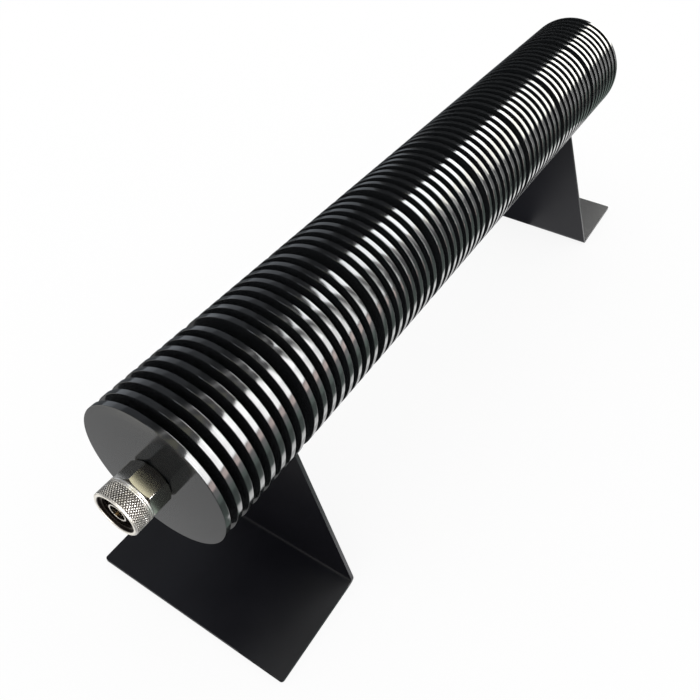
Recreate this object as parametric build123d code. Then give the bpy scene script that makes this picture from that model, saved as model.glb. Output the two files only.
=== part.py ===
from build123d import *
import math
import os

# A coaxial attenuator: a finned cylinder that lies along Y on two folded stands.
# The male input connector is at the -Y end, the female output connector at the +Y end.
# Millimetres, +Z up, the floor at Z = 0, the middle of the whole length at Y = 0.

# Radiator body
body_radius = 35.0
core_radius = 17.0
bore_radius = 8.0
fin_thickness = 2.8
fin_spacing = 3.85
group_spacing = 6.0
fins_per_group = 8
group_count = 8
fin_bevel = 0.25

# Stands
axis_height = 107.0
sheet_thickness = 2.0
bend_radius = 1.5
foot_width = 111.0
foot_overhang = 5.6
foot_corner_radius = 1.5
upright_taper_start = 2.0
horn_width = 3.4
horn_length = 9.0
horn_corner_radius = 1.2
saddle_clearance = 0.3

# Both connectors
hex_across_flats = 18.0
hex_rear_bevel = 1.1
hex_front_bevel = 0.6
spigot_length = 12.0
seat_clearance = 0.05
line_radius = 3.5
pin_body_radius = 1.52
mating_pin_radius = 0.825
bead_flange_radius = 5.0
bead_flange_length = 6.0
retainer_length = 6.0

# Input connector, with distances measured outwards from the end face
input_hex_length = 9.9
neck_radius = 6.5
neck_reach = 13.0
sleeve_radius = 4.25
sleeve_reach = 18.2
sleeve_slot_width = 0.4
sleeve_slot_length = 3.6
sleeve_slot_count = 4
sleeve_slot_angle = 45.0
input_bead_reach = 10.0
input_pin_reach = 17.2
mating_pin_length = 4.7
pin_tip_length = 0.9

# Coupling nut
nut_radius = 10.5
nut_back = 10.2
nut_front = 19.4
nut_mouth_radius = 8.7
nut_mouth_depth = 1.3
nut_thread_radius = 7.45
nut_relief_radius = 8.1
nut_relief_length = 1.6
nut_wall = 2.4
nut_bevel = 0.5
nut_groove_from_back = 1.3
nut_groove_width = 0.6
nut_groove_depth = 0.5
nut_clearance = 0.15

# Nut retaining ring and gasket
ring_thickness = 0.8
ring_radius = 7.2
ring_gap = 1.6
ring_axial_play = 0.2
ring_radial_play = 0.3
ring_depth_in_neck = 0.6
gasket_thickness = 0.8
gasket_seat_radius = 4.6
gasket_edge = 0.1

# Output connector
output_hex_length = 9.1
thread_radius = 7.94
thread_reach = 19.4
thread_bevel = 0.6
thread_relief_width = 1.2
thread_relief_depth = 0.7
mouth_radius = 4.35
mouth_depth = 9.0
output_bead_reach = 10.4
socket_reach = 14.6
socket_bore_radius = 0.86
socket_bore_depth = 6.0
socket_slot_width = 0.3
socket_slot_length = 4.6

# Carriers, cards and links
launch_pocket_depth = 4.0
launch_pocket_radius = 2.5
pin_tail_reach = 2.0
card_count = 4
card_width = 9.0
card_thickness = 1.0
card_spacing = 6.0
card_clearance = 0.1
channel_height = 3.0
ribbon_thickness = 0.3
ribbon_width = 2.4
ribbon_lap = 2.0
ribbon_depth_in_pin = 1.5

# Carrier clamp screws
screw_radius = 2.0
screw_length = 8.5
screw_hex_across_flats = 2.0
screw_hex_depth = 2.5
screw_clearance = 0.05

# Lengths that follow from the sizes above
fin_pitch = fin_thickness + fin_spacing
group_length = fins_per_group * fin_thickness + (fins_per_group - 1) * fin_spacing
group_pitch = group_length + group_spacing
body_length = group_count * group_length + (group_count - 1) * group_spacing
input_reach = max(nut_front, sleeve_reach, foot_overhang)
output_reach = max(thread_reach, foot_overhang)
body_middle = (input_reach - output_reach) / 2
input_face = body_middle - body_length / 2
output_face = body_middle + body_length / 2
spigot_radius = bore_radius - seat_clearance
carrier_radius = bore_radius - seat_clearance
carrier_length = body_length - 2 * spigot_length
cards_length = carrier_length - 2 * launch_pocket_depth
card_length = (cards_length - (card_count - 1) * card_spacing) / card_count
card_top = -ribbon_thickness / 2

INPUT = -1
OUTPUT = 1
END_FACE = {INPUT: input_face, OUTPUT: output_face}


def end_place(end, reach):
    """A Y place that lies a distance outside one of the body's end faces."""
    return END_FACE[end] + end * reach


def turned(end, profile, arc=360):
    """A turned piece from the outline's points, each a distance outside the end face and a radius."""
    corners = [(radius, end_place(end, reach)) for reach, radius in profile]
    outline = make_face(Polyline(*corners, close=True))
    return Pos(0, 0, axis_height) * revolve(outline, Axis.Y, revolution_arc=arc)


def round_bar(end, start, stop, radius):
    """A plain round bar or drill between two distances from an end face."""
    return turned(end, [(start, 0), (stop, 0), (stop, radius), (start, radius)])


def block(x_size, y_start, y_stop, z_low, z_high):
    """A box centred across the part, with its heights measured from the axis."""
    middle = Pos(0, (y_start + y_stop) / 2, axis_height + (z_low + z_high) / 2)
    return middle * Box(x_size, abs(y_stop - y_start), z_high - z_low)


def cross_slots(end, start, stop, width, reach_across, count, first_angle=0.0):
    """Thin saw cuts through the axis, spread evenly round a contact from the first one's angle."""
    cuts = []
    for index in range(count // 2):
        cut = Box(reach_across, abs(stop - start), width)
        turn = Rot(0, first_angle + 180 * index / (count // 2), 0)
        cuts.append(Pos(0, end_place(end, (start + stop) / 2), axis_height) * turn * cut)
    return cuts


def wide_groove_middles():
    """The distances from the input end face to the middle of each wide groove."""
    return [(index + 1) * group_pitch - group_spacing / 2 for index in range(group_count - 1)]


def fin_starts():
    """The distance from the input end face to the start of each fin."""
    starts = []
    for group in range(group_count):
        for fin in range(fins_per_group):
            starts.append(group * group_pitch + fin * fin_pitch)
    return starts


def screw_places():
    """The Y places of the clamp screws: each wide groove that holds no stand."""
    return [input_face + middle for middle in wide_groove_middles()[1:-1]]


def radiator_body():
    """One turned bar with a bore right through and a bevelled fin between each two grooves."""
    corners = [(bore_radius, input_face)]
    starts = fin_starts()
    for start in starts:
        back = input_face + start
        front = back + fin_thickness
        if start != starts[0]:
            corners.append((core_radius, back))
        corners.append((body_radius - fin_bevel, back))
        corners.append((body_radius, back + fin_bevel))
        corners.append((body_radius, front - fin_bevel))
        corners.append((body_radius - fin_bevel, front))
        if start != starts[-1]:
            corners.append((core_radius, front))
    corners.append((bore_radius, output_face))
    outline = make_face(Polyline(*corners, close=True))
    body = Pos(0, 0, axis_height) * revolve(outline, Axis.Y)
    for place in screw_places():
        drill = Cylinder(screw_radius + screw_clearance, core_radius)
        body -= Pos(0, place, axis_height - core_radius / 2) * drill
    return body


def stand(end):
    """A folded sheet: its foot points outwards, and its upright has a saddle for the body's core."""
    groove_middle = -wide_groove_middles()[0]
    upright_back = end_place(end, groove_middle) - end * sheet_thickness / 2
    foot_depth = foot_overhang - groove_middle + sheet_thickness / 2
    section = make_face(Polyline(
        (0, 0),
        (foot_depth, 0),
        (foot_depth, sheet_thickness),
        (sheet_thickness, sheet_thickness),
        (sheet_thickness, axis_height),
        (0, axis_height),
        close=True,
    ))
    outer_corner = section.vertices().sort_by_distance((0, 0, 0))[0]
    section = fillet(outer_corner, bend_radius + sheet_thickness)
    inner_corner = section.vertices().sort_by_distance((sheet_thickness, sheet_thickness, 0))[0]
    section = fillet(inner_corner, bend_radius)
    side_plane = Plane(origin=(0, upright_back, 0), x_dir=(0, end, 0), z_dir=(end, 0, 0))
    sheet = extrude(side_plane * section, amount=foot_width / 2, both=True)

    saddle_radius = core_radius + saddle_clearance
    horn_outside = saddle_radius + horn_width
    front = make_face(Polyline(
        (-foot_width / 2, 0),
        (foot_width / 2, 0),
        (foot_width / 2, upright_taper_start),
        (horn_outside, axis_height - horn_length),
        (horn_outside, axis_height),
        (-horn_outside, axis_height),
        (-horn_outside, axis_height - horn_length),
        (-foot_width / 2, upright_taper_start),
        close=True,
    ))
    horn_corners = [front.vertices().sort_by_distance((side * horn_outside, axis_height, 0))[0]
                    for side in (-1, 1)]
    front = fillet(horn_corners, horn_corner_radius)
    front -= Pos(0, axis_height) * Circle(saddle_radius)
    front_plane = Plane(origin=(0, upright_back, 0), x_dir=(1, 0, 0), z_dir=(0, -1, 0))
    upright_shape = extrude(front_plane * front, amount=foot_depth * 2, both=True)

    plan = RectangleRounded(foot_width, foot_depth * 3, foot_corner_radius)
    plan_middle = upright_back + end * (foot_depth - foot_depth * 3 / 2)
    foot_shape = extrude(Pos(0, plan_middle, 0) * plan, amount=axis_height)
    return sheet & upright_shape & foot_shape


def hexagon(end, length):
    """The spanner hexagon, a corner upwards, with both its ends bevelled."""
    corner_radius = hex_across_flats / math.sqrt(3)
    across = Plane(origin=(0, END_FACE[end], axis_height), x_dir=(1, 0, 0), z_dir=(0, end, 0))
    outline = RegularPolygon(corner_radius, 6, rotation=30)
    prism = extrude(across * outline, amount=length)
    slope = math.tan(math.radians(60))
    cones = turned(end, [
        (0, 0),
        (0, corner_radius - hex_rear_bevel * slope),
        (hex_rear_bevel, corner_radius),
        (length - hex_front_bevel, corner_radius),
        (length, corner_radius - hex_front_bevel * slope),
        (length, 0),
    ])
    return prism & cones


def connector_inside(end, line_reach):
    """The hollow of a connector body: the air line, and the wider seat of the bead behind it."""
    flange_front = bead_flange_length - spigot_length + retainer_length
    return turned(end, [
        (-spigot_length, 0),
        (line_reach, 0),
        (line_reach, line_radius),
        (flange_front, line_radius),
        (flange_front, bead_flange_radius),
        (-spigot_length, bead_flange_radius),
    ])


def input_connector_body():
    """Hexagon, spigot, neck with the ring's groove, gasket seat, and slotted contact sleeve."""
    ring_middle = nut_back + nut_wall / 2
    groove_half = ring_thickness / 2 + seat_clearance
    groove_floor = neck_radius - ring_depth_in_neck
    outside = turned(INPUT, [
        (-spigot_length, 0),
        (-spigot_length, spigot_radius),
        (0, spigot_radius),
        (0, neck_radius),
        (ring_middle - groove_half, neck_radius),
        (ring_middle - groove_half, groove_floor),
        (ring_middle + groove_half, groove_floor),
        (ring_middle + groove_half, neck_radius),
        (neck_reach, neck_radius),
        (neck_reach, gasket_seat_radius),
        (neck_reach + gasket_thickness, gasket_seat_radius),
        (neck_reach + gasket_thickness, sleeve_radius),
        (sleeve_reach, sleeve_radius),
        (sleeve_reach, 0),
    ])
    body = hexagon(INPUT, input_hex_length) + outside - connector_inside(INPUT, sleeve_reach)
    slot_start = sleeve_reach - sleeve_slot_length
    for cut in cross_slots(INPUT, slot_start, sleeve_reach, sleeve_slot_width,
                           2 * neck_radius, sleeve_slot_count, sleeve_slot_angle):
        body -= cut
    return body


def output_connector_body():
    """Hexagon, spigot and the threaded barrel with its mouth, the thread as its outer diameter."""
    relief_radius = thread_radius - thread_relief_depth
    relief_end = output_hex_length + thread_relief_width
    outside = turned(OUTPUT, [
        (-spigot_length, 0),
        (-spigot_length, spigot_radius),
        (0, spigot_radius),
        (0, relief_radius),
        (relief_end, relief_radius),
        (relief_end, thread_radius),
        (thread_reach - thread_bevel, thread_radius),
        (thread_reach, thread_radius - thread_bevel),
        (thread_reach, 0),
    ])
    mouth = round_bar(OUTPUT, thread_reach - mouth_depth, thread_reach, mouth_radius)
    output_hexagon = hexagon(OUTPUT, output_hex_length)
    return output_hexagon + outside - connector_inside(OUTPUT, thread_reach) - mouth


def bead(end, reach):
    """The white insulator: a sleeve round the pin with a flange behind."""
    flange_back = retainer_length - spigot_length
    flange_front = flange_back + bead_flange_length
    return turned(end, [
        (flange_back, pin_body_radius + seat_clearance),
        (reach, pin_body_radius + seat_clearance),
        (reach, line_radius - seat_clearance),
        (flange_front, line_radius - seat_clearance),
        (flange_front, bead_flange_radius - seat_clearance),
        (flange_back, bead_flange_radius - seat_clearance),
    ])


def bead_retainer(end):
    """The bush behind the bead, flush with the spigot's end."""
    return turned(end, [
        (-spigot_length, line_radius),
        (retainer_length - spigot_length, line_radius),
        (retainer_length - spigot_length, bead_flange_radius - seat_clearance),
        (-spigot_length, bead_flange_radius - seat_clearance),
    ])


def ribbon_slot(end):
    """The flat cut in the tail of a centre conductor that takes the launch tab."""
    tail_end = -spigot_length - pin_tail_reach
    start = end_place(end, tail_end)
    stop = end_place(end, tail_end + ribbon_depth_in_pin)
    return block(ribbon_width, start, stop, -ribbon_thickness / 2, ribbon_thickness / 2)


def input_centre_pin():
    """Thick body through the bead, then the thin mating pin with a tapered tip."""
    shoulder = input_pin_reach - mating_pin_length
    tip_radius = mating_pin_radius / 2
    pin = turned(INPUT, [
        (-spigot_length - pin_tail_reach, 0),
        (-spigot_length - pin_tail_reach, pin_body_radius),
        (shoulder - pin_tip_length, pin_body_radius),
        (shoulder, mating_pin_radius),
        (input_pin_reach - pin_tip_length, mating_pin_radius),
        (input_pin_reach, tip_radius),
        (input_pin_reach, 0),
    ])
    return pin - ribbon_slot(INPUT)


def output_centre_socket():
    """Thick body through the bead, with a slotted socket at its front."""
    socket = round_bar(OUTPUT, -spigot_length - pin_tail_reach, socket_reach, pin_body_radius)
    socket -= round_bar(OUTPUT, socket_reach - socket_bore_depth, socket_reach, socket_bore_radius)
    for cut in cross_slots(OUTPUT, socket_reach - socket_slot_length, socket_reach,
                           socket_slot_width, 3 * pin_body_radius, 2):
        socket -= cut
    return socket - ribbon_slot(OUTPUT)


def coupling_nut():
    """The ring nut: mouth, thread as its inner diameter, relief, back wall and ring groove."""
    wall_front = nut_back + nut_wall
    ring_middle = nut_back + nut_wall / 2
    groove_half = ring_thickness / 2 + ring_axial_play
    groove_radius = ring_radius + ring_radial_play
    bore = neck_radius + nut_clearance
    outer_groove = nut_back + nut_groove_from_back
    return turned(INPUT, [
        (nut_back, bore),
        (nut_back, nut_radius - nut_bevel),
        (nut_back + nut_bevel, nut_radius),
        (outer_groove, nut_radius),
        (outer_groove, nut_radius - nut_groove_depth),
        (outer_groove + nut_groove_width, nut_radius - nut_groove_depth),
        (outer_groove + nut_groove_width, nut_radius),
        (nut_front - nut_bevel, nut_radius),
        (nut_front, nut_radius - nut_bevel),
        (nut_front, nut_mouth_radius),
        (nut_front - nut_mouth_depth, nut_mouth_radius),
        (nut_front - nut_mouth_depth, nut_thread_radius),
        (wall_front + nut_relief_length, nut_thread_radius),
        (wall_front + nut_relief_length, nut_relief_radius),
        (wall_front, nut_relief_radius),
        (wall_front, bore),
        (ring_middle + groove_half, bore),
        (ring_middle + groove_half, groove_radius),
        (ring_middle - groove_half, groove_radius),
        (ring_middle - groove_half, bore),
    ])


def nut_retaining_ring():
    """A split ring in the neck's groove that stands out into the nut's groove."""
    ring_middle = nut_back + nut_wall / 2
    inner = neck_radius - ring_depth_in_neck + seat_clearance
    open_angle = math.degrees(ring_gap / ring_radius)
    return turned(INPUT, [
        (ring_middle - ring_thickness / 2, inner),
        (ring_middle + ring_thickness / 2, inner),
        (ring_middle + ring_thickness / 2, ring_radius),
        (ring_middle - ring_thickness / 2, ring_radius),
    ], arc=360 - open_angle)


def input_gasket():
    """The sealing ring on the front of the neck, round the sleeve's short seat."""
    return turned(INPUT, [
        (neck_reach, gasket_seat_radius + seat_clearance),
        (neck_reach + gasket_thickness, gasket_seat_radius + seat_clearance),
        (neck_reach + gasket_thickness, neck_radius - gasket_edge),
        (neck_reach, neck_radius - gasket_edge),
    ])


def half_bar(upper):
    """Half of a round bar that fills the bore between the two spigots."""
    bar = round_bar(INPUT, -spigot_length - carrier_length, -spigot_length, carrier_radius)
    start = end_place(INPUT, -spigot_length)
    stop = start + carrier_length
    if upper:
        half = bar & block(4 * carrier_radius, start, stop, 0, 2 * carrier_radius)
    else:
        half = bar & block(4 * carrier_radius, start, stop, -2 * carrier_radius, 0)
    for end in (INPUT, OUTPUT):
        pocket_end = -spigot_length - launch_pocket_depth
        half -= round_bar(end, pocket_end, -spigot_length, launch_pocket_radius)
    return half


def lower_carrier():
    """The half that the cards lie in."""
    start = end_place(INPUT, -spigot_length)
    stop = start + carrier_length
    channel_width = card_width + 2 * card_clearance
    channel = block(channel_width, start, stop, card_top - card_thickness, card_thickness)
    return half_bar(False) - channel


def upper_carrier():
    """The half with the air space over the cards."""
    start = end_place(INPUT, -spigot_length)
    stop = start + carrier_length
    channel_width = card_width + 2 * card_clearance
    return half_bar(True) - block(channel_width, start, stop, -channel_height, channel_height)


def card_start(index):
    """The Y place where a card starts."""
    first = end_place(INPUT, -spigot_length - launch_pocket_depth)
    return first + index * (card_length + card_spacing)


def attenuator_card(index):
    """One ceramic strip in the lower carrier's channel."""
    start = card_start(index)
    return block(card_width, start, start + card_length, card_top - card_thickness, card_top)


def card_link(index):
    """A flat ribbon that lies on the ends of two cards."""
    start = card_start(index) + card_length - ribbon_lap
    stop = card_start(index + 1) + ribbon_lap
    return block(ribbon_width, start, stop, card_top, card_top + ribbon_thickness)


def launch_tab(end):
    """A flat ribbon from the slot in the centre conductor to the nearest card."""
    in_pin = -spigot_length - pin_tail_reach + ribbon_depth_in_pin
    on_card = -spigot_length - launch_pocket_depth - ribbon_lap
    return block(ribbon_width, end_place(end, in_pin), end_place(end, on_card),
                 -ribbon_thickness / 2, ribbon_thickness / 2)


def carrier_clamp_screws():
    """Set screws from below, each with its tip on the lower carrier."""
    screws = []
    for place in screw_places():
        screw = Cylinder(screw_radius, screw_length)
        key = extrude(RegularPolygon(screw_hex_across_flats / math.sqrt(3), 6), screw_hex_depth)
        screw -= Pos(0, 0, -screw_length / 2) * key
        top = axis_height - carrier_radius
        screws.append(Pos(0, place, top - screw_length / 2) * screw)
    return Compound(screws)


def all_nodes():
    """Every node of the part by its name."""
    nodes = {
        "radiator_body": radiator_body(),
        "front_stand": stand(INPUT),
        "rear_stand": stand(OUTPUT),
        "input_connector_body": input_connector_body(),
        "input_bead": bead(INPUT, input_bead_reach),
        "input_bead_retainer": bead_retainer(INPUT),
        "input_centre_pin": input_centre_pin(),
        "input_gasket": input_gasket(),
        "nut_retaining_ring": nut_retaining_ring(),
        "coupling_nut": coupling_nut(),
        "output_connector_body": output_connector_body(),
        "output_bead": bead(OUTPUT, output_bead_reach),
        "output_bead_retainer": bead_retainer(OUTPUT),
        "output_centre_socket": output_centre_socket(),
        "lower_carrier": lower_carrier(),
        "upper_carrier": upper_carrier(),
        "input_launch_tab": launch_tab(INPUT),
        "output_launch_tab": launch_tab(OUTPUT),
        "carrier_clamp_screws": carrier_clamp_screws(),
    }
    for index in range(card_count):
        nodes[f"attenuator_card_{index + 1}"] = attenuator_card(index)
    for index in range(card_count - 1):
        nodes[f"card_link_{index + 1}"] = card_link(index)
    return nodes


os.makedirs("parts", exist_ok=True)
for node_name, node_shape in all_nodes().items():
    export_step(node_shape, f"parts/{node_name}.step")
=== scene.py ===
"""The looks of a coaxial attenuator: a black finned cylinder on two folded stands.

Metres, +Z up, the axis along Y. The male input connector is at the -Y end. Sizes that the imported
model doesn't give are repeated from the part's source, and reach is a distance outside an end face.
"""

import math

import bmesh
import bpy
import numpy as np
from mathutils import Matrix, Vector


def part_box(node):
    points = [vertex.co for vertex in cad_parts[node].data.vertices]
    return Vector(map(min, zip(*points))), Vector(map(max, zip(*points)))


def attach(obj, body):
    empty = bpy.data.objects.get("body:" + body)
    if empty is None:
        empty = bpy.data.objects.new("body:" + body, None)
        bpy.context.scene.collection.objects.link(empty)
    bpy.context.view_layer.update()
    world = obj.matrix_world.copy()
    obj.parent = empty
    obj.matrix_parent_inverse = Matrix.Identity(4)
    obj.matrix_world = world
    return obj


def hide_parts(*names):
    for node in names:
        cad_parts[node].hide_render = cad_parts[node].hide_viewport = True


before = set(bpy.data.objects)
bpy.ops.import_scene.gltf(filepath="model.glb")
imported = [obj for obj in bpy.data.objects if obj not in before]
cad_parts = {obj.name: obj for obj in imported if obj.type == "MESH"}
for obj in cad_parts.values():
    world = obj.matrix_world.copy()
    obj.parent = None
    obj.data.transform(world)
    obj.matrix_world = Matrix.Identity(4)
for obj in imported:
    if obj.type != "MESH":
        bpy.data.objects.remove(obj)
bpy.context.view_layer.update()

MM = 0.001
INPUT = -1
OUTPUT = 1
ATTENUATOR = "attenuator"
NUT = "coupling_nut"

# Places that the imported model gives
body_low, body_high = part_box("radiator_body")
stand_low, stand_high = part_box("front_stand")
nut_low, nut_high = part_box("coupling_nut")
BODY_RADIUS = (body_high.z - body_low.z) / 2
AXIS_HEIGHT = (body_high.z + body_low.z) / 2
END_FACE = {INPUT: body_low.y, OUTPUT: body_high.y}

# Radiator body
CORE_RADIUS = 17 * MM
BORE_RADIUS = 8 * MM
FIN_THICKNESS = 2.8 * MM
FIN_SPACING = 3.85 * MM
GROUP_SPACING = 6 * MM
FINS_PER_GROUP = 8
GROUP_COUNT = 8
FIN_PITCH = FIN_THICKNESS + FIN_SPACING
GROUP_PITCH = FINS_PER_GROUP * FIN_PITCH - FIN_SPACING + GROUP_SPACING
RIM_EASE = 0.25 * MM
RIM_STEPS = 180
SCREW_HOLE_RADIUS = 2.05 * MM
SCREW_HOLE_STEPS = 32
SCREW_HOLE_START = 1.1 * CORE_RADIUS
SCREW_HOLE_END = 0.1 * CORE_RADIUS

# Stands
SHEET_THICKNESS = 2 * MM
BEND_RADIUS = 3.5 * MM
FOOT_CORNER_RADIUS = 1.5 * MM
TAPER_START = 2 * MM
SADDLE_RADIUS = 17.3 * MM
HORN_WIDTH = 3.4 * MM
HORN_LENGTH = 9 * MM
HORN_CORNER_RADIUS = 1.2 * MM
SHEET_EASE = 0.22 * MM
SHEET_EASE_STEPS = 3
SHEET_EDGE_ANGLE = 50
FOOT_TIP_STEPS = 7
BEND_STEPS = 11
SADDLE_ANGLES = np.concatenate([np.linspace(0, 86, 25), np.linspace(86.4, 90, 8)])
HALF_SHEET_STEPS = 7
STANDS = (
    ("front_stand_folded", "front_stand", INPUT),
    ("rear_stand_folded", "rear_stand", OUTPUT),
)

# Both connectors
HEX_APOTHEM = 9 * MM
HEX_LENGTH = {INPUT: 9.9 * MM, OUTPUT: 9.1 * MM}
HEX_REAR_BEVEL = 1.1 * MM
HEX_FRONT_BEVEL = 0.6 * MM
HEX_BEVEL_SLOPE = math.tan(math.radians(60))
HEX_CORNER_EASE = 0.35 * MM
HEX_SIDE_STEPS = 24
HALF_FLAT = math.radians(30)
SPIGOT_LENGTH = 12 * MM
SPIGOT_RADIUS = 7.95 * MM
LINE_RADIUS = 3.5 * MM
BEAD_SEAT_RADIUS = 5 * MM
BEAD_FLANGE_LENGTH = 6 * MM
RETAINER_LENGTH = 6 * MM
SEAT_CLEARANCE = 0.05 * MM
PIN_BODY_RADIUS = 1.52 * MM
PIN_TAIL_REACH = 2 * MM
RIBBON_THICKNESS = 0.3 * MM
RIBBON_SLOT_DEPTH = 1.5 * MM
RIBBON_SLOT_HALF = 1.2 * MM
THREAD_PITCH = 25.4 * MM / 24
THREAD_STEPS = 10
THREAD_FLAT = 0.125
EDGE_EASE = 0.12 * MM
EASE_STEPS = 3
LONGEST_EASE = 0.4
SAW_OVERRUN = 1 * MM
SMALL_TURN_STEPS = 72
WELD_DISTANCE = 0.0002 * MM
CREASE_ANGLE = 35

# Input connector
NECK_RADIUS = 6.5 * MM
NECK_REACH = 13 * MM
RING_GROOVE_START = 10.95 * MM
RING_GROOVE_END = 11.85 * MM
RING_GROOVE_RADIUS = 5.9 * MM
SLEEVE_RADIUS = 4.25 * MM
SLEEVE_REACH = 18.2 * MM
SLEEVE_SLOT_WIDTH = 0.4 * MM
SLEEVE_SLOT_LENGTH = 3.6 * MM
SLEEVE_SLOT_ANGLES = (45, 135)
INPUT_BEAD_REACH = 10 * MM
INPUT_PIN_REACH = 17.2 * MM
MATING_PIN_RADIUS = 0.825 * MM
MATING_PIN_LENGTH = 4.7 * MM
PIN_TIP_LENGTH = 0.9 * MM
GASKET_THICKNESS = 0.8 * MM
GASKET_SEAT_RADIUS = 4.6 * MM
GASKET_OUTSIDE = 6.4 * MM

# Coupling nut
NUT_RADIUS = (nut_high.z - nut_low.z) / 2
NUT_BACK = END_FACE[INPUT] - nut_high.y
NUT_FRONT = END_FACE[INPUT] - nut_low.y
NUT_BORE = 6.65 * MM
NUT_MOUTH_RADIUS = 8.7 * MM
NUT_MOUTH_DEPTH = 1.3 * MM
NUT_THREAD_CREST = 7.45 * MM
NUT_THREAD_ROOT = 8.05 * MM
NUT_RELIEF_RADIUS = 8.1 * MM
NUT_RELIEF_LENGTH = 1.6 * MM
NUT_WALL = 2.4 * MM
NUT_BEVEL = 0.5 * MM
NUT_MOUTH_BEVEL = 0.45 * MM
NUT_COLLAR_LENGTH = 1.3 * MM
NUT_GROOVE_WIDTH = 0.6 * MM
NUT_GROOVE_DEPTH = 0.5 * MM
NUT_RING_GROOVE_RADIUS = 7.5 * MM
NUT_RING_GROOVE_HALF = 0.6 * MM
KNURL_COUNT = 56
KNURL_STEPS = 8
KNURL_PITCH = 1.5 * MM
KNURL_DEPTH = 0.38 * MM
KNURL_MARGIN = 0.35 * MM
KNURL_ROWS = 10
KNURL_STEEPNESS = 1.7
KNURL_CREASE_ANGLE = 24
# Painted shade on the nut: knurl points less than KNURL_DEEPEST knurl depths deep are darkened by
# their depth, and points more than MOUTH_SHALLOWEST deep inside the mouth are darkened by MOUTH_SHADE
KNURL_DEEPEST = 1.2
MOUTH_SHALLOWEST = 3
MOUTH_SHADE = 0.8

# Output connector
THREAD_CREST = 7.94 * MM
THREAD_ROOT = 7.3 * MM
THREAD_REACH = 19.4 * MM
THREAD_BEVEL = 0.6 * MM
THREAD_RELIEF_WIDTH = 1.2 * MM
THREAD_RELIEF_RADIUS = 7.24 * MM
MOUTH_RADIUS = 4.35 * MM
MOUTH_DEPTH = 9 * MM
OUTPUT_BEAD_REACH = 10.4 * MM
SOCKET_REACH = 14.6 * MM
SOCKET_BORE_RADIUS = 0.86 * MM
SOCKET_BORE_DEPTH = 6 * MM
SOCKET_SLOT_WIDTH = 0.3 * MM
SOCKET_SLOT_LENGTH = 4.6 * MM

# Finishes: the circle that streaks run round, and the ranges of noise that a change spans
STREAK_CIRCLE = 1.0 * MM
COLOUR_RANGE = (0.35, 0.65)
DRIFT_RANGE = (0.3, 0.7)
GROOVE_SHADE_RANGE = (0.15, 0.7)
EVEN_SHEEN = 0.5
FILM_EDGE = (3.1 * MM, 3.0 * MM)

# Studio
STUDIO_CENTRE = np.array([0, 0, AXIS_HEIGHT])
ROOM_RADIUS = 4.0
ROOM_STEPS = 72
ROOM_RADIANCE = 0.1
CARD_STEP = 0.05
CARD_STEPS = 12
SAMPLED_RADIANCE = 2.0
FLOOR_LIFT = 0.87
FLOOR_DROP = 0.05 * MM
FLOOR_HALF = 6.0
WHITE = (1.0, 1.0, 1.0)
COOL_WHITE = (0.96, 0.98, 1.0)
WARM_WHITE = (1.0, 0.98, 0.9)
CREAM = (1.0, 0.98, 0.72)
ROSE = (1.0, 0.82, 0.78)
GREEN_GREY = (0.8, 1.0, 0.9)
BLUE_GREY = (0.86, 0.92, 1.0)

# Camera
CAMERA_PLACE = Vector((0.14604, -0.30886, 0.32708))
CAMERA_LOOK = Vector((-0.38862, 0.60005, -0.69922))
CAMERA_RIGHT = Vector((0.8402, 0.54228, -0.0016))
CAMERA_LENS = 36.44
CAMERA_SHIFT = (0.00135, -0.00455)
CAMERA_CLIP = (0.01, 50)
SENSOR_WIDTH = 36.0


def grid_faces(rows, columns, rows_close, columns_close):
    """The corner numbers of each face between four neighbours of a grid of points."""
    number = np.arange(rows * columns).reshape(rows, columns)
    if rows_close:
        number = np.vstack([number, number[:1]])
    if columns_close:
        number = np.hstack([number, number[:, :1]])
    corners = [number[:-1, :-1], number[:-1, 1:], number[1:, 1:], number[1:, :-1]]
    return np.stack(corners, axis=-1).reshape(-1, 4)


def mesh_from_grids(name, grids, weld=True):
    """One mesh from several grids of points, each with its ways of closing."""
    points = []
    faces = []
    count = 0
    for grid, rows_close, columns_close in grids:
        rows, columns = grid.shape[:2]
        faces.append(grid_faces(rows, columns, rows_close, columns_close) + count)
        points.append(grid.reshape(-1, 3))
        count += rows * columns
    points = np.vstack(points)
    faces = np.vstack(faces)
    mesh = bpy.data.meshes.new(name)
    mesh.vertices.add(len(points))
    mesh.vertices.foreach_set("co", points.astype(np.float32).ravel())
    mesh.loops.add(faces.size)
    mesh.loops.foreach_set("vertex_index", faces.astype(np.int32).ravel())
    mesh.polygons.add(len(faces))
    mesh.polygons.foreach_set("loop_start", np.arange(0, faces.size, 4, dtype=np.int32))
    mesh.update(calc_edges=True)
    if weld:
        shell = bmesh.new()
        shell.from_mesh(mesh)
        bmesh.ops.remove_doubles(shell, verts=shell.verts, dist=WELD_DISTANCE)
        bmesh.ops.recalc_face_normals(shell, faces=shell.faces)
        shell.to_mesh(mesh)
        shell.free()
    return mesh


def linked(name, mesh, material):
    """An object at the origin, linked to the scene with its material."""
    item = bpy.data.objects.new(name, mesh)
    bpy.context.scene.collection.objects.link(item)
    mesh.materials.append(material)
    return item


def smooth(mesh):
    """Shade a mesh smooth all over."""
    mesh.polygons.foreach_set("use_smooth", np.ones(len(mesh.polygons), dtype=bool))


def finish_piece(name, mesh, body, material, replaces, crease=CREASE_ANGLE):
    """Link a mesh as a piece of the object, smooth but for edges sharper than the crease angle."""
    piece = linked(name, mesh, material)
    smooth(mesh)
    mesh.set_sharp_from_angle(angle=math.radians(crease))
    weighting = piece.modifiers.new("even_flats", "WEIGHTED_NORMAL")
    weighting.keep_sharp = True
    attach(piece, body)
    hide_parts(*replaces)


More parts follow.
